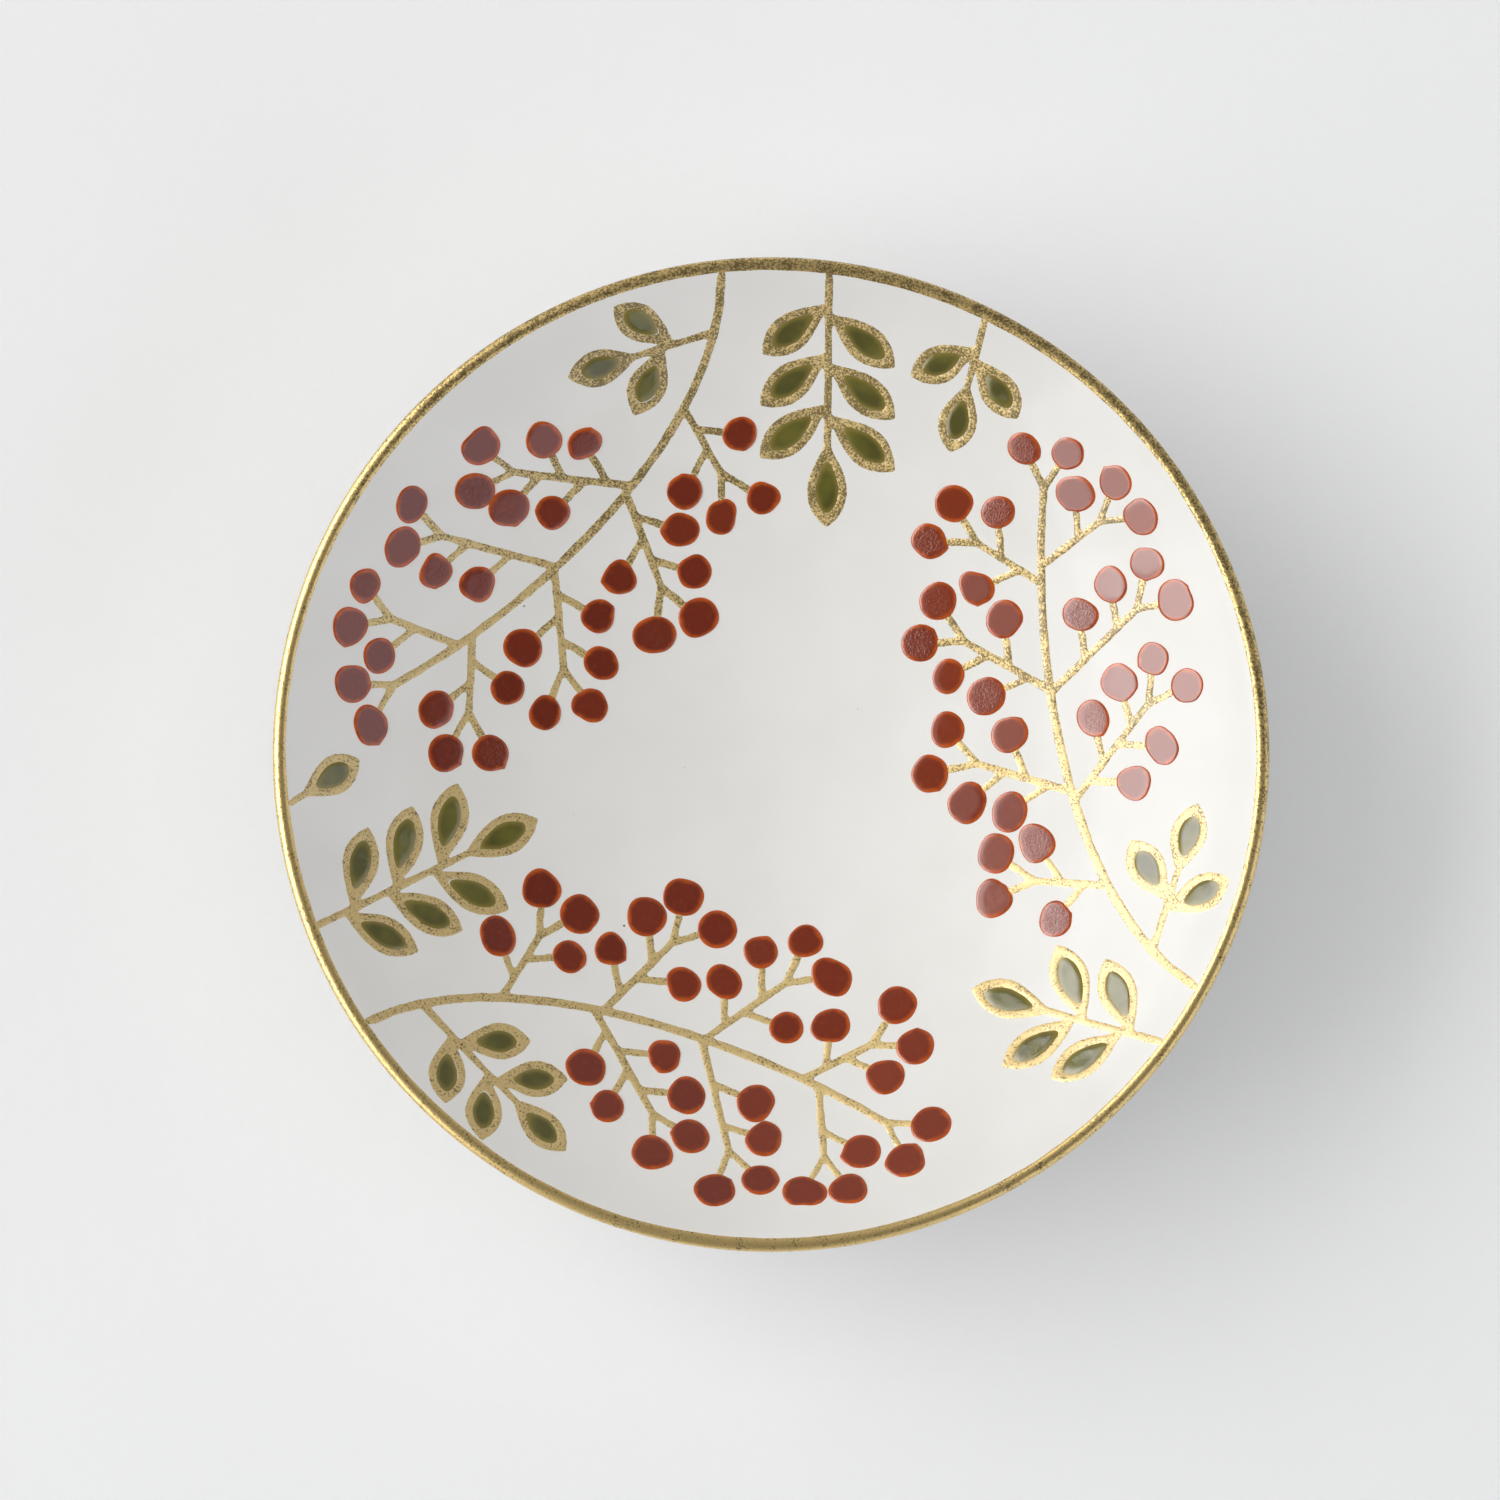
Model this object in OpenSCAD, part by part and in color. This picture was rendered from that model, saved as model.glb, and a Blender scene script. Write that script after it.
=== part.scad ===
// Small porcelain dish on a foot ring, gilt at the lip and painted inside with three berry sprays.
// Millimetres, +Z up, with the origin at the middle of the plane that the foot stands on.

/* [Dish] */
// Diameter over the gilt lip
rim_d = 105; // [98:1:116]
// Height from the table to the top of the gilt lip
dish_h = 25; // [23:0.5:28]
// Thickness of the porcelain at the lip
lip_t = 1.2; // [1:0.1:2]
// Thickness that the wall would have at the middle of the dish, which sets how it thickens from the lip
wall_t = 2.7; // [2.2:0.1:3.2]
// Thickness of the porcelain between the floor and the recess under it
floor_t = 2.6; // [2.4:0.1:3.2]

/* [Foot ring] */
// Outer diameter of the foot ring at the table
foot_d = 46; // [42:1:50]
// Width of the flat bearing face
foot_flat_w = 1.8; // [1.2:0.1:2.6]
// Depth of the recess inside the foot ring
recess_h = 2; // [1.6:0.1:2.6]
// Slope of the foot ring's sides away from upright, in degrees
foot_slope = 10; // [4:1:16]
// Height of the bare strip that the glaze leaves at the foot
bare_h = 0.7; // [0.4:0.1:1.2]

/* [Coats] */
// Thickness of the clear glaze
glaze_t = 0.15; // [0.1:0.01:0.2]
// Thickness of the gilding on the lip
gilding_t = 0.05; // [0.04:0.01:0.08]
// How far the gilding runs down from the lip's middle line
gilding_w = 0.25; // [0.1:0.05:0.8]
// Thickness of the painted gold
gold_t = 0.06; // [0.05:0.01:0.08]
// Thickness of the green enamel panes
pane_t = 0.16; // [0.1:0.01:0.25]

/* [Berries] */
// Mean diameter of a berry
berry_d = 4; // [3.6:0.1:4.2]
// Height of a berry above its flat base
berry_h = 0.25; // [0.2:0.05:0.5]
// Spread of the berries' diameters either way
berry_spread = 0.4; // [0:0.05:0.5]
// Gap between a berry and the end of its stalk
berry_gap = 0.08; // [0.05:0.01:0.2]

/* [Stems] */
// Width of a main stem
stem_w = 1.1; // [0.8:0.05:1.3]
// Width of a twig at its root
twig_w = 0.95; // [0.7:0.05:1.1]
// Width of a berry stalk
stalk_w = 0.85; // [0.6:0.05:0.95]
// Length of a berry stalk from its twig to the middle of the berry
stalk_l = 5.2; // [4.8:0.1:5.6]
// Angle between a side stalk and its twig, in degrees
stalk_angle = 54; // [48:1:60]
// Half the angle between the two stalks at a twig's end, in degrees
fork_angle = 30; // [28:1:36]
// Angle between a twig and its stem, in degrees
twig_angle = 56; // [50:1:62]
// Distance from a stem to the first stalk on its twig
first_stalk = 2.8; // [2.4:0.1:3.2]
// Distance between neighbouring stalks on a twig
stalk_pitch = 2.6; // [2.4:0.1:2.8]
// Distance from the last side stalk to the two at the twig's end
last_stalk = 3.2; // [2.9:0.1:3.4]
// Gap between the painted stems and the gilding on the lip
rim_gap = 0.15; // [0.1:0.05:0.3]

/* [Leaves] */
// Length of a leaf on a large sprig, over its gold border
leaf_l = 10; // [9.2:0.1:10.6]
// Length of a leaf at the foot of a spray or on a small sprig, over its gold border
side_leaf_l = 8.7; // [8.1:0.1:9.3]
// Width of a leaf over its gold border
leaf_w = 4.5; // [4.1:0.1:4.7]
// Width of the gold border at a leaf's sides
border_w = 1; // [0.7:0.05:1.2]
// Length of the gold border at a leaf's root
border_root = 1.9; // [1.5:0.1:2.2]
// Length of the gold border at a leaf's tip
border_tip = 1.4; // [1.1:0.1:1.7]
// Gap between a green pane and its border
pane_gap = 0.1; // [0.05:0.01:0.2]
// Distance between neighbouring pairs of leaves along their stem
leaf_pitch = 6; // [5.7:0.1:6.3]
// Angle between a leaf and its stem, in degrees
leaf_angle = 50; // [47:1:53]

/* [Hidden] */
// Smoothness of the curves
$fn = 192;

// Lip: radius and the centre of its rounding in the profile
lip_r = lip_t / 2;
coat_t = glaze_t + gilding_t;
lip_c = [rim_d / 2 - lip_r - coat_t, dish_h - lip_r - coat_t];

// Inner profile: an arc about the axis, from the floor to the lip's rounding
floor_z = recess_h + floor_t;
lip_rise = lip_c[1] - floor_z;
room_r = (lip_c[0] * lip_c[0] + lip_rise * lip_rise - lip_r * lip_r) / (2 * (lip_rise + lip_r));
room_c = [0, floor_z + room_r];
rim_a = angle_of(lip_c - room_c);

// Outer profile: another arc about the axis that touches the lip's rounding
outer_reach = room_r + wall_t - lip_r;
outer_drop = (lip_t - wall_t) * (2 * room_r + wall_t) / (2 * (outer_reach - room_c[1] + lip_c[1]));
outer_r = wall_t + room_r + outer_drop;
outer_c = room_c + [0, outer_drop];
back_a = angle_of(lip_c - outer_c);
far = 2 * rim_d;
foot_lean = tan(foot_slope);
foot_reach = foot_d / 2 + lip_t;
foot_top = outer_c[1] - sqrt(outer_r * outer_r - foot_reach * foot_reach) + wall_t / 2;

// Painted surface: distances along the glazed inside, measured from the middle
paint_r = room_r - glaze_t;
paint_l = paint_r * (90 + rim_a) * PI / 180;

// Three sprays: where each stem enters at the rim, the twigs on its two sides, and the sides of the
// stalks along each twig, with 1 for the side towards the stem's root, -1 for the other and 0 for none
paint_end = paint_l - gilding_w - rim_gap;
spray_entry = [96, 214, 331];
inner_twigs = [0.285, 0.472, 0.65, 0.83];
outer_twigs = [0.455, 0.645, 0.86];
inner_stalks = [[1, -1], [1, -1, 1], [1, -1, 1], [1, -1]];
outer_stalks = [[1, -1, 1, -1], [0, -1, 0, -1], [0, -1]];

// Leaf stems: number of leaf pairs below the end leaf, and how each one stands
side_pairs = [1, 2, 1];
side_place = 0.12;
side_turn = [-60, -61.5, -60];
side_bare = 1.7;
sprig_pairs = [[3, 1], [3, 0], [2]];
sprig_turn = [[-13, -32.5], [-13, -28], [-8]];
sprig_lean = [[6, 10], [6, 26], [18]];

// Vectors in a plane
function towards(a) = [cos(a), sin(a)];
function across(v) = [-v[1], v[0]];
function angle_of(v) = atan2(v[1], v[0]);

// From the painted plane to the dish: slope, radius and height at a painted distance
function slope_at(s) = s / paint_r * 180 / PI;
function radius_at(s) = paint_r * sin(slope_at(s));
function height_at(s) = room_c[1] - paint_r * cos(slope_at(s));
function plan(p) = p * radius_at(norm(p)) / norm(p);

// A cubic curve and its direction
function curve(c, t) = pow(1 - t, 3) * c[0] + 3 * t * pow(1 - t, 2) * c[1]
    + 3 * t * t * (1 - t) * c[2] + pow(t, 3) * c[3];
function curve_angle(c, t) = angle_of(pow(1 - t, 2) * (c[1] - c[0])
    + 2 * t * (1 - t) * (c[2] - c[1]) + t * t * (c[3] - c[2]));
function turned(p, a) = [p[0] * cos(a) - p[1] * sin(a), p[0] * sin(a) + p[1] * cos(a)];

// Seeded variation, the same at every build
function vary(seed, spread) = rands(-spread, spread, 1, seed)[0];

// The main stem of a spray, in the painted plane
function stem(k) = [for (p = [[paint_end - stem_w / 2, 0],
        [0.66, 0.03] * paint_l, [0.36, 0.4] * paint_l, [0.22, 0.74] * paint_l])
    turned(p, spray_entry[k])];

// The twigs of a spray: root, direction, sides of the stalks, seed
function twig(k, t, side, sides, seed) = [
    curve(stem(k), t),
    curve_angle(stem(k), t) + side * twig_angle + vary(seed, 4),
    side * sides,
    seed
];
function twigs(k) = concat(
    [for (i = [0:len(inner_twigs) - 1])
        twig(k, inner_twigs[i], 1, inner_stalks[i], 100 * k + i)],
    [for (i = [0:len(outer_twigs) - 1])
        twig(k, outer_twigs[i], -1, outer_stalks[i], 100 * k + 50 + i)]
);
function twig_l(w) = first_stalk + (len(w[2]) - 1) * stalk_pitch + last_stalk;
function twig_end(w) = w[0] + towards(w[1]) * twig_l(w);

// The berry stalks: root, direction, length. Two fork at the end of each twig.
function fork(p, a, seed) = [for (side = [-1, 1])
    [p, a + side * (fork_angle + vary(seed + side, 2)), stalk_l + vary(seed + 3 * side, 0.3)]];
function stalks(w) = concat(
    [for (j = [0:len(w[2]) - 1]) if (w[2][j] != 0) [
        w[0] + towards(w[1]) * (first_stalk + j * stalk_pitch),
        w[1] + w[2][j] * (stalk_angle + vary(w[3] * 10 + j, 3)),
        stalk_l + vary(w[3] * 10 + j + 5, 0.25)
    ]],
    fork(twig_end(w), w[1], 7 * w[3] + 11)
);
function spray_stalks(k) = concat(
    [for (w = twigs(k)) each stalks(w)],
    fork(curve(stem(k), 1), curve_angle(stem(k), 1), 900 + k)
);

// The berries of a spray: place in the painted plane and diameter
function berries(k) = [for (i = [0:len(spray_stalks(k)) - 1])
    let (s = spray_stalks(k)[i])
    [s[0] + towards(s[1]) * s[2], berry_d + vary(1000 * (k + 1) + i, berry_spread)]];

// Leaf stems: root, direction, number of pairs, bare length before the first pair, length of the leaves
function side_stems(k) = [[
    curve(stem(k), side_place),
    curve_angle(stem(k), side_place) + side_turn[k],
    side_pairs[k],
    side_bare,
    side_leaf_l
]];
function sprig_stems(k) = [for (i = [0:len(sprig_pairs[k]) - 1])
    let (a = spray_entry[k] + sprig_turn[k][i]) [
        towards(a) * (paint_end - twig_w / 2),
        a + 180 + sprig_lean[k][i],
        sprig_pairs[k][i],
        0,
        i == 0 ? leaf_l : side_leaf_l
    ]];
function leaf_stem_l(b) = b[3] + (b[2] + 0.2) * leaf_pitch;

// The leaves of a stem: root, direction, length
function leaves(b) = concat(
    b[2] == 0 ? [] : [for (i = [1:b[2]], side = [-1, 1]) [
        b[0] + towards(b[1]) * (b[3] + leaf_pitch * (i - 0.4 + 0.1 * side)),
        b[1] + side * leaf_angle,
        b[4]
    ]],
    [[b[0] + towards(b[1]) * leaf_stem_l(b), b[1], b[4]]]
);

// A painted line along points, with a width at each end and tapering round ends
function widths(n, w0, w1) = [for (i = [0:n - 1]) w0 + (w1 - w0) * i / (n - 1)];
function run_angle(pts, i) = angle_of(pts[min(i + 1, len(pts) - 1)] - pts[max(i - 1, 0)]);
function side_points(pts, ws, sign) = [for (i = [0:len(pts) - 1])
    pts[i] + across(towards(run_angle(pts, i))) * sign * ws[i] / 2];
function reversed(list) = [for (i = [len(list) - 1:-1:0]) list[i]];
function end_points(p, a, w) = [for (b = [60, 0, -60]) p + towards(a + b) * w / 2];
function line_points(pts, w0, w1) = let (ws = widths(len(pts), w0, w1), n = len(pts)) concat(
    side_points(pts, ws, 1),
    end_points(pts[n - 1], run_angle(pts, n - 1), w1),
    reversed(side_points(pts, ws, -1)),
    end_points(pts[0], run_angle(pts, 0) + 180, w0)
);
module painted(pts) polygon([for (p = pts) plan(p)]);

// A leaf's outline about its middle line: drawn out at the root, fullest past the middle, blunt at the tip
function leaf_half_w(t, w) = w / 2 * pow(sin(180 * pow(t, 1.3)), 0.8);
function leaf_points(root, a, l, w) = let (n = 10, d = towards(a), c = across(d)) concat(
    [for (i = [0:n]) root + d * l * i / n + c * leaf_half_w(i / n, w)],
    [for (i = [n - 1:-1:1]) root + d * l * i / n - c * leaf_half_w(i / n, w)]
);
module leaf_shape(f, inset) painted(leaf_points(
    f[0] + towards(f[1]) * inset * border_root / border_w,
    f[1],
    f[2] - inset * (border_root + border_tip) / border_w,
    leaf_w - 2 * inset
));

// Line work in plan
module leaf_stem_line(b) {
    tip = b[0] + towards(b[1]) * (leaf_stem_l(b) + border_root / 2);
    painted(line_points([b[0], (b[0] + tip) / 2, tip], twig_w, stalk_w));
}
module leaf_lines(stems) {
    difference() {
        for (b = stems) {
            leaf_stem_line(b);
            for (f = leaves(b)) leaf_shape(f, 0);
        }
        for (b = stems, f = leaves(b)) leaf_shape(f, border_w);
    }
}
module spray_lines(k) {
    painted(line_points([for (t = [0:0.0625:1]) curve(stem(k), t)], stem_w, twig_w));
    for (w = twigs(k)) painted(line_points([w[0], twig_end(w)], twig_w, stalk_w));
    for (i = [0:len(berries(k)) - 1]) {
        s = spray_stalks(k)[i];
        reach = s[2] - berries(k)[i][1] / 2 - berry_gap - stalk_w / 2;
        painted(line_points([s[0], s[0] + towards(s[1]) * reach], stalk_w, stalk_w));
    }
}

// The end of the profile past the lip's two touching points, with its start moved back along the wall
module lip_end(back) {
    run = towards(rim_a + 90);
    start = lip_c - back * run;
    polygon([
        start - far * towards(rim_a),
        start,
        start + far * towards(back_a),
        start + far * towards(back_a) + far * run,
        start - far * towards(rim_a) + far * run
    ]);
}

// Room inside the dish, as a profile, with its wall moved in by a coat
module room_profile(coat) {
    intersection() {
        translate(room_c) circle(room_r - coat);
        square([rim_d, dish_h + 2]);
    }
}

// Recess inside the foot ring, as a profile
module recess_profile(coat) {
    r = foot_d / 2 - foot_flat_w - coat;
    polygon([
        [0, -1],
        [r + foot_lean, -1],
        [r - (recess_h - coat) * foot_lean, recess_h - coat],
        [0, recess_h - coat]
    ]);
}

// Foot ring and base, as a profile
module foot_profile(coat) {
    r = foot_d / 2 + coat;
    polygon([[0, 0], [r, 0], [r + foot_top * foot_lean, foot_top], [0, foot_top]]);
}

// Whole dish with a coat all over, as a profile
module dish_profile(coat) {
    difference() {
        union() {
            intersection() {
                translate(outer_c) circle(outer_r + coat);
                square([rim_d, dish_h]);
            }
            foot_profile(coat);
        }
        room_profile(coat);
        recess_profile(coat);
        lip_end(0);
    }
    translate(lip_c) circle(lip_r + coat);
}

// A thin layer on the glazed inside
module inside_layer(t) {
    rotate_extrude() difference() {
        room_profile(glaze_t);
        room_profile(glaze_t + t);
    }
}
module laid_on(t) {
    intersection() {
        linear_extrude(dish_h) children();
        inside_layer(t);
    }
}

module porcelain_body() {
    color([0.93, 0.92, 0.89]) rotate_extrude() dish_profile(0);
}

module clear_glaze() {
    color([0.95, 0.95, 0.94]) rotate_extrude() difference() {
        dish_profile(glaze_t);
        dish_profile(0);
        square([rim_d, bare_h]);
    }
}

module gilt_rim() {
    color([0.78, 0.62, 0.32]) rotate_extrude() intersection() {
        difference() {
            dish_profile(coat_t);
            dish_profile(glaze_t);
        }
        lip_end(gilding_w);
    }
}

module spray_gold(k) {
    color([0.72, 0.56, 0.28]) laid_on(gold_t) {
        spray_lines(k);
        leaf_lines(side_stems(k));
    }
}

module sprig_gold(k) {
    color([0.72, 0.56, 0.28]) laid_on(gold_t) leaf_lines(sprig_stems(k));
}

module leaf_panes(stems) {
    color([0.32, 0.36, 0.14]) laid_on(pane_t)
        for (b = stems, f = leaves(b)) leaf_shape(f, border_w + pane_gap);
}

// A berry about the dish's centre of curvature: a round cap on a flat base that meets the glaze at its edge
module berry(d) {
    r = (d * d / 4 + berry_h * berry_h) / (2 * berry_h);
    translate([0, 0, -sqrt(paint_r * paint_r - d * d / 4)])
        rotate_extrude($fn = 96) intersection() {
            translate([0, berry_h - r]) circle(r, $fn = 720);
            square([d, 2 * berry_h]);
        }
}

module spray_berries(k) {
    color([0.45, 0.1, 0.07]) for (b = berries(k))
        translate([0, 0, room_c[1]])
            rotate([0, slope_at(norm(b[0])), angle_of(b[0]) + 180])
                berry(b[1]);
}

module spray_gold_1() spray_gold(0);
module spray_gold_2() spray_gold(1);
module spray_gold_3() spray_gold(2);
module spray_leaves_1() leaf_panes(side_stems(0));
module spray_leaves_2() leaf_panes(side_stems(1));
module spray_leaves_3() leaf_panes(side_stems(2));
module spray_berries_1() spray_berries(0);
module spray_berries_2() spray_berries(1);
module spray_berries_3() spray_berries(2);
module sprig_gold_1() sprig_gold(0);
module sprig_gold_2() sprig_gold(1);
module sprig_gold_3() sprig_gold(2);
module sprig_leaves_1() leaf_panes(sprig_stems(0));
module sprig_leaves_2() leaf_panes(sprig_stems(1));
module sprig_leaves_3() leaf_panes(sprig_stems(2));

porcelain_body();
clear_glaze();
gilt_rim();
spray_gold_1();
spray_gold_2();
spray_gold_3();
spray_leaves_1();
spray_leaves_2();
spray_leaves_3();
spray_berries_1();
spray_berries_2();
spray_berries_3();
sprig_gold_1();
sprig_gold_2();
sprig_gold_3();
sprig_leaves_1();
sprig_leaves_2();
sprig_leaves_3();
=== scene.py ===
import math

import bmesh
import bpy
import numpy as np
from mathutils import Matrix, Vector
from mathutils.geometry import delaunay_2d_cdt


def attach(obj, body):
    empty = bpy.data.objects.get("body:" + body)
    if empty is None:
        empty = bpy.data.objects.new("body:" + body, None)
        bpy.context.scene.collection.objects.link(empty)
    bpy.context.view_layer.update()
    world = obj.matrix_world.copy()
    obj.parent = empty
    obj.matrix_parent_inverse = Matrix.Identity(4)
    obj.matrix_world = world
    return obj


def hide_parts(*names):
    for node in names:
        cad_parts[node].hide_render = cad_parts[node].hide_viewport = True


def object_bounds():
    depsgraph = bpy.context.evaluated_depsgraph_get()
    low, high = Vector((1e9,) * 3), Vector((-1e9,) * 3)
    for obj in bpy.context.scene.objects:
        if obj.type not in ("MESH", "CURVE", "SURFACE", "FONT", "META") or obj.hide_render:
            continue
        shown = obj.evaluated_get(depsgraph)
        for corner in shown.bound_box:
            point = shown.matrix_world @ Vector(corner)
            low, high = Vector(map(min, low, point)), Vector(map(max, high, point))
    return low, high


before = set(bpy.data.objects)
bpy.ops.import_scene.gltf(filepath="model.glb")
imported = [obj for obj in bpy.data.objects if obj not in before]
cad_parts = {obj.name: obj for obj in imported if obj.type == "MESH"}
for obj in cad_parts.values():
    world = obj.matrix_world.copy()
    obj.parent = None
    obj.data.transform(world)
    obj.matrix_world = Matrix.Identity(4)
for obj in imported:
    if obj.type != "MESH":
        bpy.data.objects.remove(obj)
cad_lo, cad_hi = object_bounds()

# Driving dimensions, as in the part's source
MM = 0.001
RIM_R = cad_hi.x
DISH_H = cad_hi.z
LIP_T = 1.2 * MM
WALL_T = 2.7 * MM
FLOOR_T = 2.6 * MM
RECESS_H = 2 * MM
FOOT_R = 23 * MM
FOOT_FLAT_W = 1.8 * MM
FOOT_SLOPE = math.radians(10)
FOOT_LEAN = math.tan(FOOT_SLOPE)
BARE_H = 0.7 * MM
GLAZE_T = 0.15 * MM
GILDING_T = 0.05 * MM
GILDING_W = 0.25 * MM
GOLD_T = 0.06 * MM
PANE_T = 0.16 * MM
BERRY_H = 0.25 * MM
STALK_W = 0.85 * MM

# Profile: the lip's rounding, the inner arc and the outer arc that touch it
lip_r = LIP_T / 2
lip_x = RIM_R - lip_r - GLAZE_T - GILDING_T
lip_z = DISH_H - lip_r - GLAZE_T - GILDING_T
floor_z = RECESS_H + FLOOR_T
lip_rise = lip_z - floor_z
room_r = (lip_x**2 + lip_rise**2 - lip_r**2) / (2 * (lip_rise + lip_r))
room_z = floor_z + room_r
rim_a = math.atan2(lip_z - room_z, lip_x)
outer_reach = room_r + WALL_T - lip_r - room_z + lip_z
outer_drop = (LIP_T - WALL_T) * (2 * room_r + WALL_T) / (2 * outer_reach)
outer_r = WALL_T + room_r + outer_drop
outer_z = room_z + outer_drop
back_a = math.atan2(lip_z - outer_z, lip_x)
paint_r = room_r - GLAZE_T
lip_l = paint_r * (rim_a + math.pi / 2)
CENTRE = np.array([0, 0, room_z])

# Glaze, foot, and gold wear with painted shade
DISH_TURNS = 192
POOL_R = 1.6 * MM
POOL_PASSES = 12
RECESS_BEND_R = 0.3 * MM
WEAR_SHADE_START = -12 * MM
WEAR_SHADE_L = 54 * MM
WEAR_SHADE_LEAN = 0.4

# Painting: grids, strokes, panes and drops
CELL = 0.2 * MM
GRID_MARGIN = 1.2 * MM
NOISE_CELLS = 128
NOISE_SHIFT = (17.3, 41.7)
INSIDE_WITHOUT_HOLES = 2
SINK = 0.02 * MM
WANDER = 0.05 * MM
WANDER_L = 2.1 * MM
TREMOR = 0.6 * WANDER
TREMOR_L = 0.7 * MM
SWELL = 0.15
SWELL_L = 1.3 * MM
GOLD_RISE = 0.3 * MM
GOLD_SPREAD = 0.04 * MM
STALK_ROOT = 0.3
STALK_SHARE = 0.3
LIP_GAP = 0.15 * MM
PANE_H = 0.6 * PANE_T
PANE_RISE = 0.7 * MM
PANE_SPREAD = 0.34 * MM
PANE_ROUNDING = 12
PANE_BAND = 0.3 * MM
PANE_LAP = 0.13 * MM
RIM_BAND = 0.02 * MM
DROP_TURNS = 36
DROP_STEPS = (0.5, 0.85, 0.94, 0.975, 0.992, 1)
DROP_WAVES = ((2, 0.05), (3, 0.025), (4, 0.012), (5, 0.007), (7, 0.004))
DROP_SPREAD = 1.03
DROP_SINK = 0.03 * MM
DROP_BASE = 0.04 * MM

# Gilding
GILDING_TURNS = 420
GILDING_STEPS = 12
GILDING_RISE = 0.25 * MM
GILDING_SWAY = 0.1 * MM
BRUSH_R = 30


# Arrays and noise
def unit(v):
    return v / np.linalg.norm(v, axis=-1, keepdims=True)


def lattice_noise(x, y, size, seed):
    """Smooth noise of about -1 to 1 at points of a plane, with features of the given size."""
    n = NOISE_CELLS
    grid = np.random.default_rng(seed).uniform(-1, 1, (n, n))
    u = np.asarray(x) / size + NOISE_SHIFT[0]
    v = np.asarray(y) / size + NOISE_SHIFT[1]
    i = np.floor(u).astype(int)
    j = np.floor(v).astype(int)
    a = u - i
    b = v - j
    a = a * a * (3 - 2 * a)
    b = b * b * (3 - 2 * b)
    near = grid[j % n, i % n] * (1 - a) + grid[j % n, (i + 1) % n] * a
    far = grid[(j + 1) % n, i % n] * (1 - a) + grid[(j + 1) % n, (i + 1) % n] * a
    return near * (1 - b) + far * b


# Pieces
def new_piece(name, bm, material, nodes, facts=None):
    """A mesh object of the dish that stands for CAD nodes, with point attributes from facts."""
    mesh = bpy.data.meshes.new(name)
    bm.to_mesh(mesh)
    bm.free()
    for key, values in (facts or {}).items():
        layer = mesh.attributes.new(key, "FLOAT", "POINT")
        layer.data.foreach_set("value", np.asarray(values, dtype=np.float32))
    mesh.materials.append(material)
    piece = bpy.data.objects.new(name, mesh)
    bpy.context.collection.objects.link(piece)
    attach(piece, "root")
    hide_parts(*nodes)


def smooth(bm, sharp_angle):
    """Smooth shading, with sharp edges where the surface turns by more than the angle."""
    for f in bm.faces:
        f.smooth = True
    for e in bm.edges:
        if len(e.link_faces) == 2:
            e.smooth = e.calc_face_angle(0) < sharp_angle


def lathe(bm, profile, turns):
    """A closed solid of revolution from a profile that starts and ends on the axis."""
    angles = [2 * math.pi * i / turns for i in range(turns)]
    first = bm.verts.new((0, 0, profile[0][1]))
    rings = [[bm.verts.new((r * math.cos(a), r * math.sin(a), z)) for a in angles] for r, z in profile[1:-1]]
    last = bm.verts.new((0, 0, profile[-1][1]))
    made = []
    for i in range(turns):
        k = (i + 1) % turns
        made.append(bm.faces.new((first, rings[0][i], rings[0][k])))
        made.append(bm.faces.new((rings[-1][i], last, rings[-1][k])))
        for near, far in zip(rings, rings[1:]):
            made.append(bm.faces.new((near[i], far[i], far[k], near[k])))
    bmesh.ops.recalc_face_normals(bm, faces=made)


# Profiles of the dish with a coat all over
def arc(x, z, r, a, b, n):
    return [(x + r * math.cos(t), z + r * math.sin(t)) for t in np.linspace(a, b, n)]


def foot_x(coat, z):
    return FOOT_R + coat + z * FOOT_LEAN


def foot_joint(coat):
    """The angle at which the outer arc meets the foot's side."""
    low, high = math.radians(-90), back_a
    for _ in range(60):
        mid = (low + high) / 2
        x = (outer_r + coat) * math.cos(mid)
        z = outer_z + (outer_r + coat) * math.sin(mid)
        if x < foot_x(coat, z):
            low = mid
        else:
            high = mid
    return high


def outside_profile(coat, fine):
    """From the middle of the floor over the lip and down to the bare strip at the foot."""
    joint = foot_joint(coat)
    joint_z = outer_z + (outer_r + coat) * math.sin(joint)
    inside = arc(0, room_z, room_r - coat, math.radians(-90), rim_a, 15 * fine)
    lip = arc(lip_x, lip_z, lip_r + coat, rim_a + math.pi, back_a, 5 * fine)
    outside = arc(0, outer_z, outer_r + coat, back_a, joint, 9 * fine)
    side = [(foot_x(coat, z), z) for z in np.linspace(joint_z, BARE_H, 3 * fine)]
    points = np.array(inside + lip[1:] + outside[1:] + side[1:])
    points[0, 0] = 0
    # The glaze pools in the corner above the foot
    corner = np.array([foot_x(coat, joint_z), joint_z])
    close = np.hypot(*(points - corner).T) < POOL_R
    close[-1] = False
    for _ in range(POOL_PASSES if coat else 0):
        points[1:-1] += 0.4 * close[1:-1, None] * (points[2:] + points[:-2] - 2 * points[1:-1])
    return [tuple(p) for p in points]


def recess_profile(coat):
    """From the middle of the recess under the floor down to the bare strip at the foot."""
    top = RECESS_H - coat
    inner = FOOT_R - FOOT_FLAT_W - coat
    edge = inner - top * FOOT_LEAN
    x = edge - RECESS_BEND_R
    z = top - RECESS_BEND_R
    flat = [(r, top) for r in np.linspace(0, x, 8)]
    bend = arc(x, z, RECESS_BEND_R, math.radians(90), FOOT_SLOPE, 5)
    return flat + bend[1:] + [(inner - BARE_H * FOOT_LEAN, BARE_H)]


def wear_and_shade_at(x, y):
    """How dark the gold runs: hardly at the front and the left of the dish, and more towards its back;
    partly the gold's real wear, partly painted shade.
    """
    t = ((np.asarray(y) + WEAR_SHADE_LEAN * np.asarray(x) - WEAR_SHADE_START) / WEAR_SHADE_L).clip(0, 1)
    return t * t * (3 - 2 * t)


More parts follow.
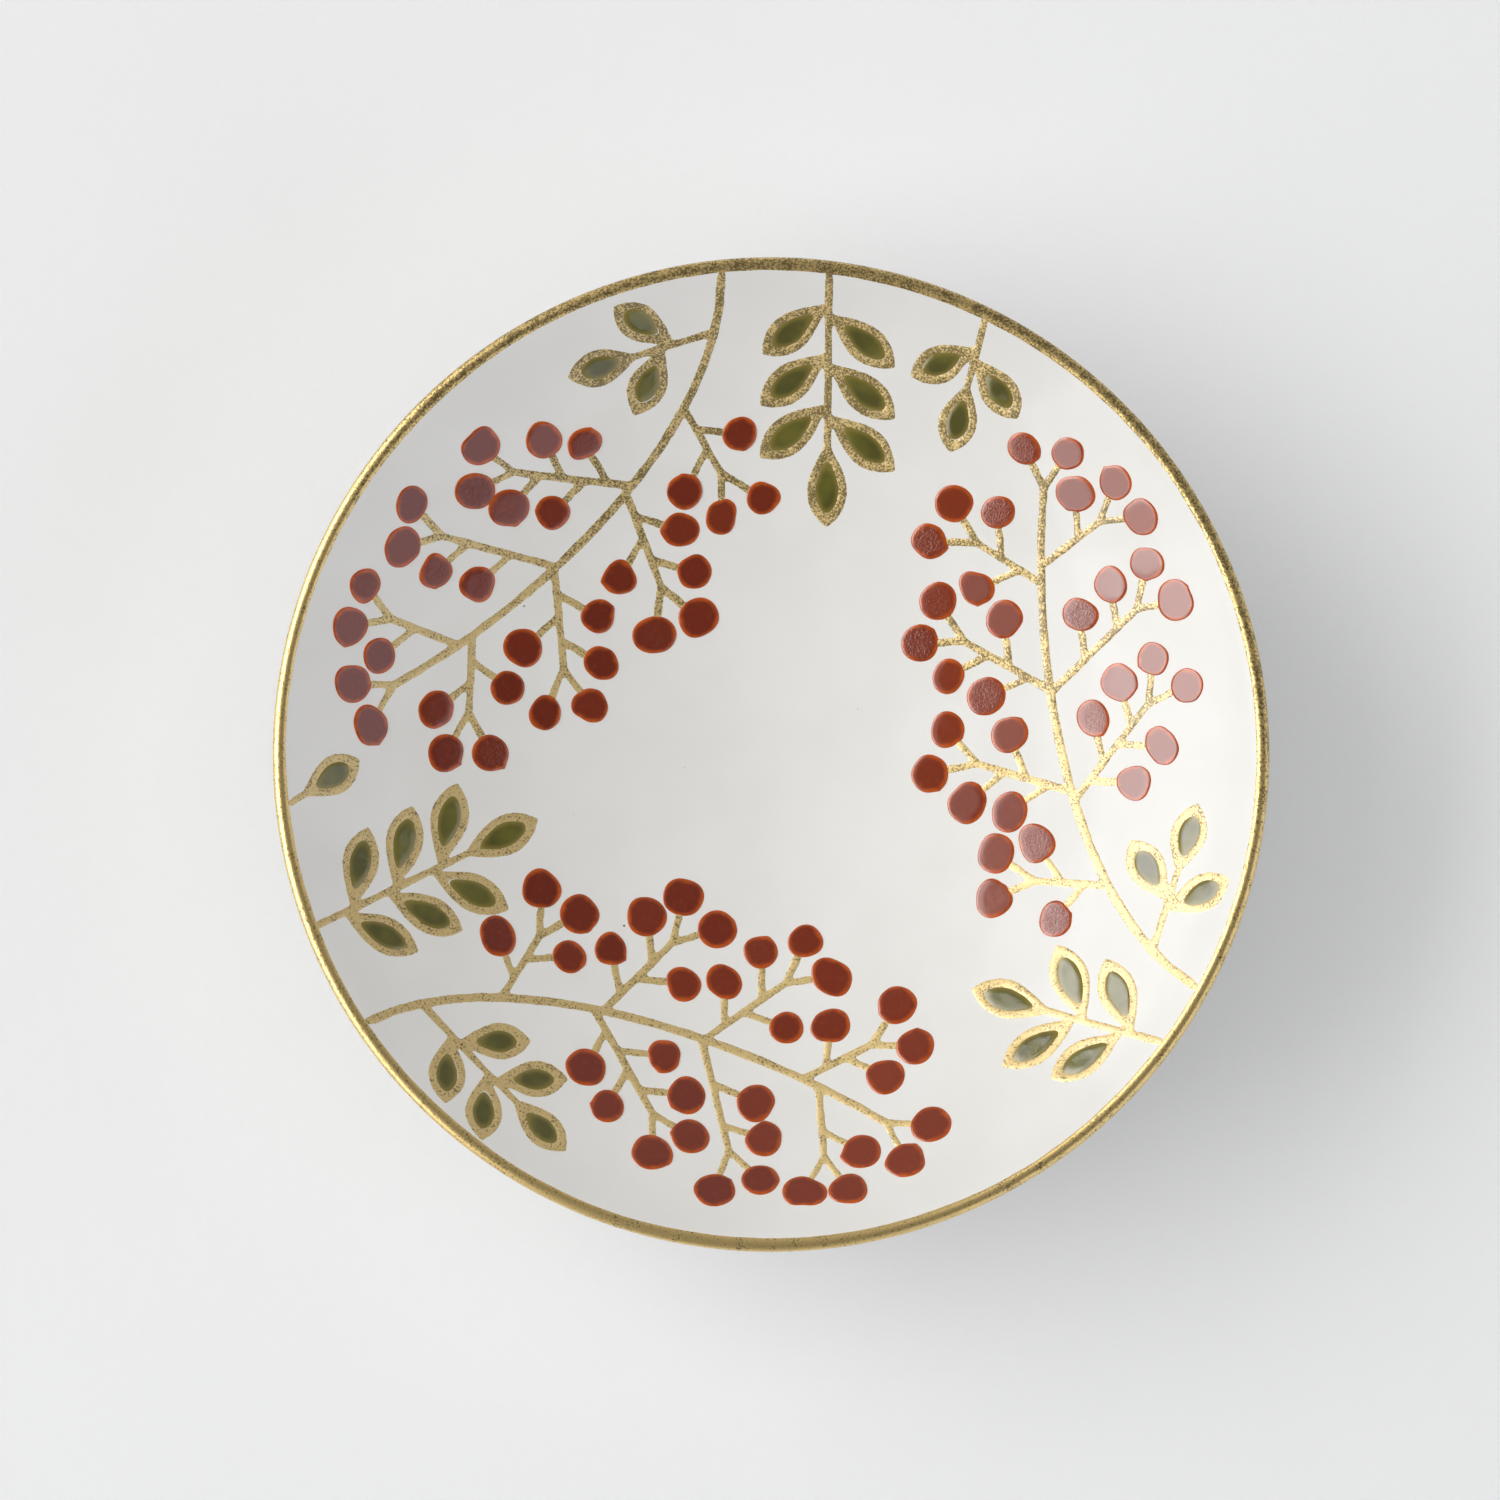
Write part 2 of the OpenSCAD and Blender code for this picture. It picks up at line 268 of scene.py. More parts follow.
# Painted surface: a plane of distances along the glazed inside, measured from the middle
def paint_of(points):
    """Painted plane coordinates of points in space."""
    v = points - CENTRE
    r = np.hypot(v[..., 0], v[..., 1])
    s = paint_r * np.arctan2(r, -v[..., 2])
    return v[..., :2] * (s / np.maximum(r, 1e-9))[..., None]


def place_of(u, v, h):
    """Points in space at painted plane coordinates, at a height above the glaze."""
    s = np.maximum(np.hypot(u, v), 1e-9)
    r = (paint_r - h) * np.sin(s / paint_r)
    z = room_z - (paint_r - h) * np.cos(s / paint_r)
    return np.stack([r * u / s, r * v / s, z], axis=-1)


def mesh_of(node):
    """Points and triangles of a CAD node, with its doubled points joined."""
    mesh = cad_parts[node].data
    mesh.calc_loop_triangles()
    points = np.empty(len(mesh.vertices) * 3, dtype=np.float32)
    mesh.vertices.foreach_get("co", points)
    tris = np.empty(len(mesh.loop_triangles) * 3, dtype=np.int32)
    mesh.loop_triangles.foreach_get("vertices", tris)
    points, joined = np.unique(points.reshape(-1, 3), axis=0, return_inverse=True)
    return points.astype(float), joined.reshape(-1)[tris].reshape(-1, 3)


def islands_of(node):
    """The separate solids of a CAD node as arrays of points."""
    points, tris = mesh_of(node)
    mark = np.arange(len(points))
    while True:
        low = mark[tris].min(axis=1)
        fresh = mark.copy()
        for k in range(3):
            np.minimum.at(fresh, tris[:, k], low)
        if (fresh == mark).all():
            break
        mark = fresh
    return [points[mark == m] for m in np.unique(mark)]


def outline_of(node, thickness):
    """The outline of a painted CAD layer as segments in the painted plane."""
    points, tris = mesh_of(node)
    upper = np.linalg.norm(points - CENTRE, axis=1) < paint_r - thickness / 2
    tris = tris[upper[tris].all(axis=1)]
    edges = np.concatenate([tris[:, [0, 1]], tris[:, [1, 2]], tris[:, [2, 0]]])
    key = edges[:, 0] * len(points) + edges[:, 1]
    back = edges[:, 1] * len(points) + edges[:, 0]
    edges = edges[~np.isin(key, back)]
    flat = paint_of(points)
    return flat[edges]


def grid_around(segments, margin):
    """The corner and the shape of a grid that holds an outline."""
    low = segments.reshape(-1, 2).min(axis=0) - margin
    high = segments.reshape(-1, 2).max(axis=0) + margin
    nx, ny = np.ceil((high - low) / CELL).astype(int) + 1
    return low, (ny, nx)


def depth_field(segments, low, shape, reach):
    """Distance inside an outline on a grid, positive inside."""
    ny, nx = shape
    xs = low[0] + np.arange(nx) * CELL
    ys = low[1] + np.arange(ny) * CELL
    dist = np.full((ny, nx), reach)
    inside = np.zeros((ny, nx), dtype=bool)
    for a, b in segments:
        i0, j0 = np.floor((np.minimum(a, b) - reach - low) / CELL).astype(int).clip(0)
        i1, j1 = np.ceil((np.maximum(a, b) + reach - low) / CELL).astype(int) + 1
        gx, gy = np.meshgrid(xs[i0:i1] - a[0], ys[j0:j1] - a[1])
        d = b - a
        t = ((gx * d[0] + gy * d[1]) / max(d @ d, 1e-18)).clip(0, 1)
        part = dist[j0:j1, i0:i1]
        np.minimum(part, np.hypot(gx - t * d[0], gy - t * d[1]), out=part)
        rows = np.nonzero((ys > min(a[1], b[1])) & (ys <= max(a[1], b[1])))[0]
        if len(rows):
            cross = a[0] + (ys[rows] - a[1]) / d[1] * d[0]
            inside[rows] ^= xs[None, :] > cross[:, None]
    return np.where(inside, dist, -dist)


def softened(field, times):
    """A field with its corners rounded."""
    for _ in range(times):
        field[1:-1] = field[1:-1] / 2 + (field[2:] + field[:-2]) / 4
        field[:, 1:-1] = field[:, 1:-1] / 2 + (field[:, 2:] + field[:, :-2]) / 4
    return field


def field_cells(field):
    """Points, depths and faces of the part of a field that is positive."""
    least = 0.12 * CELL
    field[np.abs(field) < least] = -least
    inside = field > 0
    index = np.full(field.shape, -1)
    index[inside] = np.arange(inside.sum())
    jj, ii = np.nonzero(inside)
    points = [np.stack([ii, jj], axis=1).astype(float)]
    depths = [field[inside]]
    count = int(inside.sum())
    crossings = []
    for step in ((0, 1), (1, 0)):
        near = field[: field.shape[0] - step[0], : field.shape[1] - step[1]]
        far = field[step[0] :, step[1] :]
        j, i = np.nonzero((near > 0) != (far > 0))
        t = near[j, i] / (near[j, i] - far[j, i])
        points.append(np.stack([i + t * step[1], j + t * step[0]], axis=1))
        depths.append(np.zeros(len(i)))
        number = np.full(field.shape, -1)
        number[j, i] = count + np.arange(len(i))
        crossings.append(number)
        count += len(i)
    along, up = crossings
    corners = [inside[:-1, :-1], inside[:-1, 1:], inside[1:, 1:], inside[1:, :-1]]
    full = corners[0] & corners[1] & corners[2] & corners[3]
    some = (corners[0] | corners[1] | corners[2] | corners[3]) & ~full
    j, i = np.nonzero(full)
    faces = np.stack([index[j, i], index[j, i + 1], index[j + 1, i + 1], index[j + 1, i]], axis=1).tolist()
    for j, i in zip(*np.nonzero(some)):
        ring = ((j, i), (j, i + 1), (j + 1, i + 1), (j + 1, i))
        sides = (along[j, i], up[j, i + 1], along[j + 1, i], up[j, i])
        face = []
        for k in range(4):
            if inside[ring[k]]:
                face.append(int(index[ring[k]]))
            if inside[ring[k]] != inside[ring[(k + 1) % 4]]:
                face.append(int(sides[k]))
        faces.append(face)
    return np.concatenate(points), np.concatenate(depths), faces


def run_on(field, low, outline, spots, share):
    """Run strokes on from the nearest places of an outline to spots, by a share of the way."""
    middles = outline.mean(axis=1)
    for spot in spots:
        start = middles[np.argmin(np.hypot(*(middles - spot).T))]
        i0, j0 = np.floor((np.minimum(start, spot) - STALK_W - low) / CELL).astype(int).clip(0)
        last = np.ceil((np.maximum(start, spot) + STALK_W - low) / CELL).astype(int)
        i1, j1 = np.minimum(last, field.shape[::-1])
        xs = low[0] + np.arange(i0, i1) * CELL - start[0]
        ys = low[1] + np.arange(j0, j1) * CELL - start[1]
        gx, gy = np.meshgrid(xs, ys)
        d = spot - start
        t = ((gx * d[0] + gy * d[1]) / (d @ d)).clip(-STALK_ROOT, share)
        part = field[j0:j1, i0:i1]
        np.maximum(part, STALK_W / 2 - np.hypot(gx - t * d[0], gy - t * d[1]), out=part)


def close_underneath(bm, rims, flat):
    """Close a layer underneath with even triangles that have all their corners on its edge."""
    bm.verts.index_update()
    bm.verts.ensure_lookup_table()
    sides = [e.link_loops[0] for e in rims]
    after = {side.vert.index: side.link_loop_next.vert.index for side in sides}
    around = sorted(after)
    place = {k: n for n, k in enumerate(around)}
    loops = []
    while after:
        start, k = after.popitem()
        loops.append([place[start]])
        while k != start:
            loops[-1].append(place[k])
            k = after.pop(k)
    corners = [Vector(flat[k]) for k in around]
    made = delaunay_2d_cdt(corners, [], loops, INSIDE_WITHOUT_HOLES, 1e-6 * MM)
    triangles, origins = made[2], made[3]
    for triangle in triangles:
        bm.faces.new([bm.verts[around[origins[n][0]]] for n in reversed(triangle)])


def painted_layer(name, node, field, low, thickness, rise, seed, material):
    """A painted layer over the part of a field that is positive, with rounded edges, closed underneath."""
    xs = low[0] + np.arange(field.shape[1]) * CELL
    ys = low[1] + np.arange(field.shape[0]) * CELL
    gx, gy = np.meshgrid(xs, ys)
    field = field + WANDER * lattice_noise(gx, gy, WANDER_L, seed)
    field += TREMOR * lattice_noise(gx, gy, TREMOR_L, seed + 1)
    spots, depths, faces = field_cells(field)
    u = low[0] + spots[:, 0] * CELL
    v = low[1] + spots[:, 1] * CELL
    full = (depths / rise).clip(0, 1)
    swell = 1 + SWELL * lattice_noise(u, v, SWELL_L, seed + 2)
    height = thickness * swell * (1 - (1 - full) ** 2) - SINK * (1 - full)
    bm = bmesh.new()
    verts = [bm.verts.new(p) for p in place_of(u, v, height)]
    for face in faces:
        bm.faces.new([verts[k] for k in face])
    rims = [e for e in bm.edges if len(e.link_faces) == 1]
    for f in bm.faces:
        f.smooth = True
    close_underneath(bm, rims, np.stack([u, v], axis=1))
    for e in rims:
        e.smooth = False
    facts = {"depth": full, "wear_and_shade": wear_and_shade_at(u, v)}
    new_piece(name, bm, material, [node], facts)


def painted_group(group, k, berries, seed):
    """Gold lines and the green panes of their leaves: round-ended panes over the edge of the gold."""
    gold_node = f"{group}_gold_{k}"
    pane_node = f"{group}_leaves_{k}"
    lines = outline_of(gold_node, GOLD_T)
    leaves = outline_of(pane_node, PANE_T)
    low, shape = grid_around(lines, GRID_MARGIN)
    gold = depth_field(lines, low, shape, GRID_MARGIN)
    pane = depth_field(leaves, low, shape, GRID_MARGIN)
    run_on(gold, low, lines, berries, STALK_SHARE)
    for solid in islands_of(gold_node):
        flat = paint_of(solid)
        s = np.hypot(*flat.T)
        end = np.argmax(s)
        at_lip = flat[end] * (lip_l - GILDING_W - LIP_GAP) / s[end]
        run_on(gold, low, lines, [at_lip], 1)
    drop = softened(pane.copy(), PANE_ROUNDING) + PANE_SPREAD
    gold = np.where(pane > -PANE_BAND, np.maximum(gold, PANE_LAP - drop), gold)
    gold = softened(gold, 1) + GOLD_SPREAD
    name = f"{group}_lines_{k}"
    painted_layer(name, gold_node, gold, low, GOLD_T, GOLD_RISE, seed, GOLD)
    name = f"{group}_panes_{k}"
    painted_layer(name, pane_node, drop, low, PANE_H, PANE_RISE, seed + 200, GREEN)


# Berries
def berry_drop(bm, solid, seed, facts):
    """A drop of enamel with an uneven outline, on the place of a CAD berry."""
    rng = np.random.default_rng(seed)
    away = np.linalg.norm(solid - CENTRE, axis=1)
    rim = solid[away > away.max() - RIM_BAND]
    down = unit(unit(rim - CENTRE).mean(axis=0))
    off = rim - CENTRE
    radius = np.linalg.norm(off - np.outer(off @ down, down), axis=1).mean()
    along = unit(np.cross(down, [0.3, 0.9, 0.1]))
    across = np.cross(down, along)
    angle = np.arange(DROP_TURNS) * 2 * math.pi / DROP_TURNS
    shape = np.ones(DROP_TURNS)
    for k, spread in DROP_WAVES:
        shape += rng.normal(0, spread) * np.cos(k * angle + rng.uniform(0, 2 * math.pi))
    # About half of the drops have a corner with straight sides
    for _ in range(rng.integers(0, 2)):
        turn = (angle - rng.uniform(0, 2 * math.pi) + math.pi) % (2 * math.pi) - math.pi
        shape += 1 / np.cos(np.maximum(0, rng.uniform(0.3, 0.52) - np.abs(turn))) - 1
    shape *= DROP_SPREAD / shape.mean()
    height = BERRY_H * rng.uniform(0.45, 0.65)
    # Each drop's tone is partly random and partly painted light: drops towards the right of the dish are
    # made lighter, where the window light falls on them
    tone_and_light = 0.3 * rng.random() + 0.7 * min(1, max(0, 0.35 + down[0] * 1.4))
    wrinkle = max(0.0, rng.uniform(-1.2, 1))
    lean = rng.normal(0, 0.05, 2)

    def vert(rho, j):
        a = radius * shape[j] * rho * math.cos(angle[j])
        b = radius * shape[j] * rho * math.sin(angle[j])
        dome = (1 - rho**30) ** 0.5 * (1 - 0.08 * rho * rho)
        tilt = 1 + lean[0] * rho * math.cos(angle[j]) + lean[1] * rho * math.sin(angle[j])
        h = height * dome * tilt - DROP_SINK * rho**8
        facts["depth"].append((1 - rho) * radius / MM)
        facts["tone_and_light"].append(tone_and_light)
        facts["wrinkle"].append(wrinkle * min(1, 4 * (1 - rho)))
        way = unit(down * paint_r + along * a + across * b)
        return bm.verts.new(CENTRE + way * (paint_r - h))

    top = vert(0, 0)
    circles = [[vert(rho, j) for j in range(DROP_TURNS)] for rho in DROP_STEPS]
    base = bm.verts.new(CENTRE + down * (paint_r + DROP_BASE))
    facts["depth"].append(0)
    facts["tone_and_light"].append(tone_and_light)
    facts["wrinkle"].append(0)
    for j in range(DROP_TURNS):
        k = (j + 1) % DROP_TURNS
        bm.faces.new((top, circles[0][k], circles[0][j])).smooth = True
        for near, far in zip(circles, circles[1:]):
            bm.faces.new((near[j], near[k], far[k], far[j])).smooth = True
        bm.faces.new((circles[-1][j], circles[-1][k], base)).smooth = True
        bm.edges.get((circles[-1][j], circles[-1][k])).smooth = False


def berry_cluster(name, node, seed, material):
    """All the drops of one spray as one piece."""
    bm = bmesh.new()
    facts = {"depth": [], "tone_and_light": [], "wrinkle": []}
    for i, solid in enumerate(islands_of(node)):
        berry_drop(bm, solid, seed + i, facts)
    bmesh.ops.recalc_face_normals(bm, faces=bm.faces[:])
    new_piece(name, bm, material, [node], facts)


# Gilding on the lip, brushed on by hand
def brushed_edge(a, slow_size, quick_size, quick_sway, seed):
    """How far the gilding runs on past the lip's rounding, at an angle around the dish."""
    x = math.cos(a) * BRUSH_R
    y = math.sin(a) * BRUSH_R
    slow = GILDING_SWAY * float(lattice_noise(x, y, slow_size, seed))
    quick = quick_sway * float(lattice_noise(x, y, quick_size, seed + 1))
    return GILDING_W + slow + quick


def gilding(name, node, material):
    """A thin skin over the lip's rounding and a little way down both sides of the wall."""
    steps = GILDING_STEPS
    sweep = rim_a + math.pi - back_a
    over = (lip_r + GLAZE_T) * sweep
    bm = bmesh.new()
    depth = []
    wear_and_shade = []
    rows = []
    for i in range(GILDING_TURNS):
        a = 2 * math.pi * i / GILDING_TURNS
        run_in = brushed_edge(a, slow_size=9, quick_size=1.1, quick_sway=0.05 * MM, seed=5)
        run_out = brushed_edge(a, slow_size=7, quick_size=1.3, quick_sway=0.06 * MM, seed=7)
        whole = run_in + over + run_out
        row = []
        for upper in (True, False):
            for k in range(steps + 1):
                if not upper and k in (0, steps):
                    continue
                s = whole * k / steps
                full = min(1.0, min(s, whole - s) / GILDING_RISE)
                h = GILDING_T * (1 - (1 - full) ** 2) - SINK * (1 - full) if upper else -SINK
                if s < run_in:
                    t = rim_a - (run_in - s) / paint_r
                    r = paint_r - h
                    p = (r * math.cos(t), room_z + r * math.sin(t))
                elif s < run_in + over:
                    t = rim_a + math.pi - (s - run_in) / over * sweep
                    r = lip_r + GLAZE_T + h
                    p = (lip_x + r * math.cos(t), lip_z + r * math.sin(t))
                else:
                    t = back_a - (s - run_in - over) / (outer_r + GLAZE_T)
                    r = outer_r + GLAZE_T + h
                    p = (r * math.cos(t), outer_z + r * math.sin(t))
                row.append(bm.verts.new((p[0] * math.cos(a), p[0] * math.sin(a), p[1])))
                depth.append(full if upper else 0)
                # The lip's gold gets the same wear and painted shade, darker towards the back of the dish
                wear_and_shade.append(wear_and_shade_at(RIM_R * math.cos(a), RIM_R * math.sin(a)))
        rows.append(row)
    n = steps + 1
    ring = list(range(n)) + list(range(len(rows[0]) - 1, n - 1, -1))
    for near, far in zip(rows, rows[1:] + rows[:1]):
        for k, m in zip(ring, ring[1:] + ring[:1]):
            bm.faces.new((near[k], near[m], far[m], far[k]))
    bmesh.ops.recalc_face_normals(bm, faces=bm.faces[:])
    smooth(bm, math.radians(50))
    new_piece(name, bm, material, [node], {"depth": depth, "wear_and_shade": wear_and_shade})


# Materials
class Shader:
    """A node material with a principled shader, read through object coordinates."""

    def __init__(self, name, **sockets):
        self.material = bpy.data.materials.new(name)
        self.material.use_nodes = True
        self.tree = self.material.node_tree
        self.tree.nodes.clear()
        out = self.tree.nodes.new("ShaderNodeOutputMaterial")
        self.shader = self.tree.nodes.new("ShaderNodeBsdfPrincipled")
        self.tree.links.new(self.shader.outputs[0], out.inputs[0])
        self.coords = self.tree.nodes.new("ShaderNodeTexCoord").outputs["Object"]
        for key, value in sockets.items():
            self.shader.inputs[key.replace("_", " ")].default_value = value

    def link(self, value, socket):
        if isinstance(value, bpy.types.NodeSocket):
            self.tree.links.new(value, socket)
        else:
            socket.default_value = value

    def to(self, name, value):
        self.link(value, self.shader.inputs[name])

    def noise(self, size, detail=2.0, rough=0.5, warp=0.0):
        n = self.tree.nodes.new("ShaderNodeTexNoise")
        n.inputs["Scale"].default_value = 1 / size
        n.inputs["Detail"].default_value = detail
        n.inputs["Roughness"].default_value = rough
        n.inputs["Distortion"].default_value = warp
        self.tree.links.new(self.coords, n.inputs["Vector"])
        return n.outputs["Fac"]

    def cells(self, size):
        n = self.tree.nodes.new("ShaderNodeTexVoronoi")
        n.inputs["Scale"].default_value = 1 / size
        self.tree.links.new(self.coords, n.inputs["Vector"])
        return n.outputs["Distance"], n.outputs["Color"]

    def fact(self, name):
        n = self.tree.nodes.new("ShaderNodeAttribute")
        n.attribute_name = name
        return n.outputs["Fac"]

    def math(self, kind, a, b=0.0, c=0.0):
        n = self.tree.nodes.new("ShaderNodeMath")
        n.operation = kind
        for value, socket in zip((a, b, c), n.inputs):
            self.link(value, socket)
        return n.outputs[0]

    def spread(self, value, low, high, to_low=0.0, to_high=1.0):
        n = self.tree.nodes.new("ShaderNodeMapRange")
        n.interpolation_type = "SMOOTHSTEP"
        for v, key in ((value, 0), (low, 1), (high, 2), (to_low, 3), (to_high, 4)):
            self.link(v, n.inputs[key])
        return n.outputs[0]

    def mix(self, share, a, b):
        n = self.tree.nodes.new("ShaderNodeMix")
        n.data_type = "RGBA"
        self.link(share, n.inputs["Factor"])
        for value, key in ((a, 6), (b, 7)):
            self.link(value if isinstance(value, bpy.types.NodeSocket) else (*value, 1), n.inputs[key])
        return n.outputs[2]

    def bump(self, height, depth):
        n = self.tree.nodes.new("ShaderNodeBump")
        n.inputs["Distance"].default_value = depth
        self.link(height, n.inputs["Height"])
        self.to("Normal", n.outputs[0])


def glaze_material():
    m = Shader("glazed_porcelain", IOR=1.5, Specular_IOR_Level=0.15)
    dull = (0.8, 0.787, 0.752)
    pale = (0.825, 0.814, 0.782)
    brown = (0.12, 0.085, 0.05)
    white = m.mix(m.spread(m.noise(9 * MM, 2), 0.3, 0.7), dull, pale)
    near, tint = m.cells(6 * MM)
    speck = m.math("MULTIPLY", m.spread(near, 0.016, 0.028, 1, 0), m.spread(tint, 0.35, 0.8, 0.1, 1))
    m.to("Base Color", m.mix(speck, white, brown))
    m.to("Roughness", m.spread(m.noise(4 * MM, 3), 0.3, 0.7, 0.07, 0.13))
    m.bump(m.noise(2.6 * MM, 2, 0.4), 0.012 * MM)
    return m.material


def porcelain_material():
    m = Shader("bare_porcelain", IOR=1.45)
    m.to("Base Color", m.mix(m.noise(1.5 * MM, 4), (0.66, 0.62, 0.55), (0.8, 0.77, 0.71)))
    m.to("Roughness", m.spread(m.noise(0.6 * MM, 3), 0.3, 0.7, 0.7, 0.95))
    m.bump(m.noise(0.25 * MM, 3), 0.03 * MM)
    return m.material


def gold_material(name, pale, dark, mottle, shine, metal, coat):
    """Gold with dark grain that shows more where it is worn, and more towards the back of the dish as
    painted shade. Its least roughness is shine.
    """
    m = Shader(name, Metallic=metal, Coat_Weight=coat, Coat_Roughness=0.2)
    grain = m.noise(0.23 * MM, 2, 0.6)
    patch = m.noise(1.6 * MM, 2, 0.5)
    # Painted shade: the gold is darker towards the back of the dish, on top of its real wear
    whole = m.spread(m.fact("wear_and_shade"), 0, 1, 0.07, -0.055)
    share = m.math("ADD", m.math("MULTIPLY_ADD", patch, 0.35, grain), whole)
    m.to("Base Color", m.mix(m.spread(share, mottle, mottle + 0.2), dark, pale))
    m.to("Roughness", m.spread(share, 0.5, 0.9, shine + 0.1, shine))
    m.bump(grain, 0.04 * MM)
    return m.material


def green_material():
    m = Shader("green_enamel", IOR=1.6)
    dark = (0.081, 0.074, 0.011)
    olive = (0.136, 0.127, 0.0195)
    moss = (0.23, 0.178, 0.036)
    edge = (0.42, 0.35, 0.135)
    pool = m.noise(4.5 * MM, 2, 0.4)
    deep = m.mix(m.spread(pool, 0.4, 0.68), dark, olive)
    uneven = m.math("MULTIPLY_ADD", m.noise(1.1 * MM, 2), 0.4, m.fact("depth"))
    thin = m.spread(uneven, 0.3, 1.25, 1, 0)
    wash = m.spread(m.fact("depth"), 0.02, 0.3, 1, 0)
    body = m.mix(thin, deep, moss)
    m.to("Base Color", m.mix(wash, body, edge))
    m.to("Roughness", m.spread(m.noise(0.9 * MM, 3), 0.3, 0.7, 0.08, 0.2))
    m.bump(m.noise(0.5 * MM, 3, 0.6), 0.01 * MM)
    return m.material


def red_material():
    m = Shader("red_enamel", IOR=1.62)
    dark = (0.14, 0.0145, 0.0033)
    brick = (0.25, 0.037, 0.008)
    warm = (0.3, 0.04, 0.006)
    orange = (0.58, 0.1, 0.007)
    cloud = m.noise(0.5 * MM, 3, 0.6)
    # Painted light: drops on the right of the dish take the lighter brick colour, on top of their random
    # tone
    deep = m.mix(m.fact("tone_and_light"), dark, brick)
    deep = m.mix(m.spread(cloud, 0.5, 0.8, 0, 0.35), deep, warm)
    uneven = m.math("MULTIPLY_ADD", m.noise(1.3 * MM, 2), 0.8, m.fact("depth"))
    thin = m.spread(uneven, 0.25, 1.0, 1, 0)
    m.to("Base Color", m.mix(thin, deep, orange))
    m.to("Roughness", m.spread(cloud, 0.3, 0.7, 0.08, 0.16))
    fold = m.math("MULTIPLY", m.noise(0.4 * MM, 3, 0.6, 1.2), m.fact("wrinkle"))
    m.bump(fold, 0.08 * MM)
    return m.material


def paper_material():
    m = Shader("pale_paper", IOR=1.3)
    m.to("Base Color", m.mix(m.noise(30 * MM, 3), (0.855, 0.855, 0.85), (0.88, 0.88, 0.875)))
    m.to("Roughness", m.spread(m.noise(2 * MM, 2), 0.3, 0.7, 0.85, 0.95))
    m.bump(m.noise(1.2 * MM, 4, 0.6), 0.05 * MM)
    return m.material


GLAZE = glaze_material()
PORCELAIN = porcelain_material()
GILDING = gold_material(
    "brushed_gilding",
    pale=(0.78, 0.57, 0.235),
    dark=(0.24, 0.175, 0.068),
    mottle=0.52,
    shine=0.34,
    metal=0.92,
    coat=0.3,
)
GOLD = gold_material(
    "painted_gold",
    pale=(0.76, 0.583, 0.268),
    dark=(0.25, 0.185, 0.07),
    mottle=0.54,
    shine=0.6,
    metal=0.7,
    coat=0.8,
)
GREEN = green_material()
RED = red_material()
PAPER = paper_material()

# The dish
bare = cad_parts["porcelain_body"]
bare.data.materials.clear()
bare.data.materials.append(PORCELAIN)

bm = bmesh.new()
lathe(bm, outside_profile(GLAZE_T, 3) + outside_profile(0, 1)[::-1], DISH_TURNS)
lathe(bm, recess_profile(GLAZE_T) + recess_profile(0)[::-1], DISH_TURNS)
smooth(bm, math.radians(45))
new_piece("glaze_coat", bm, GLAZE, ["clear_glaze"])

gilding("lip_gilding", "gilt_rim", GILDING)

# The painting
for k in (1, 2, 3):
    berries = [paint_of(solid.mean(axis=0)) for solid in islands_of(f"spray_berries_{k}")]
    painted_group("spray", k, berries, 100 + k)
    painted_group("sprig", k, [], 200 + k)
    berry_cluster(f"berry_drops_{k}", f"spray_berries_{k}", 1000 * k, RED)

# Floor
FLOOR_R = 3.0
FLOOR_SIDES = 96
bm = bmesh.new()
bmesh.ops.create_circle(bm, cap_ends=True, segments=FLOOR_SIDES, radius=FLOOR_R)
mesh = bpy.data.meshes.new("floor")
bm.to_mesh(mesh)
bm.free()
mesh.materials.append(PAPER)
floor = bpy.data.objects.new("floor", mesh)
bpy.context.collection.objects.link(floor)

# Light: a window on the left, a pale wall at the front right, a soft ceiling, and a room dim elsewhere
LAMP_AWAY = 3.0


def window(name, turn, rise, half_turn, half_rise, radiance, colour=(1, 1, 1)):
    """An area light: its direction and half its spread are angles in degrees."""
    data = bpy.data.lights.new(name, "AREA")
    data.shape = "RECTANGLE"
    data.size = 2 * LAMP_AWAY * math.tan(math.radians(half_turn))
    data.size_y = 2 * LAMP_AWAY * math.tan(math.radians(half_rise))
    data.energy = radiance * math.pi * data.size * data.size_y
    data.color = colour
    lamp = bpy.data.objects.new(name, data)
    t = math.radians(turn)
    e = math.radians(rise)
    way = Vector((math.cos(e) * math.cos(t), math.cos(e) * math.sin(t), math.sin(e)))
    lamp.location = LAMP_AWAY * way
    lamp.rotation_mode = "QUATERNION"
    lamp.rotation_quaternion = (-lamp.location).to_track_quat("-Z", "Y")
    bpy.context.collection.objects.link(lamp)
    return lamp


window("window_light", turn=170, rise=33, half_turn=32, half_rise=16, radiance=2.9)
window("upper_light", turn=176, rise=48, half_turn=28, half_rise=13, radiance=1.0)
window("wall_light", turn=-29, rise=18, half_turn=42, half_rise=20, radiance=1.0, colour=(0.85, 0.9, 1))
# A ceiling that shows in no reflection, and a pane that shows in reflections alone
ceiling = window("ceiling_light", turn=0, rise=90, half_turn=35, half_rise=35, radiance=0.75)
ceiling.visible_glossy = False
pane = window("pane_light", turn=180, rise=25, half_turn=46, half_rise=15, radiance=3.3)
pane.visible_diffuse = False

# World: darker towards the front, and darker overhead
world = bpy.data.worlds.new("room")
world.use_nodes = True
tree = world.node_tree


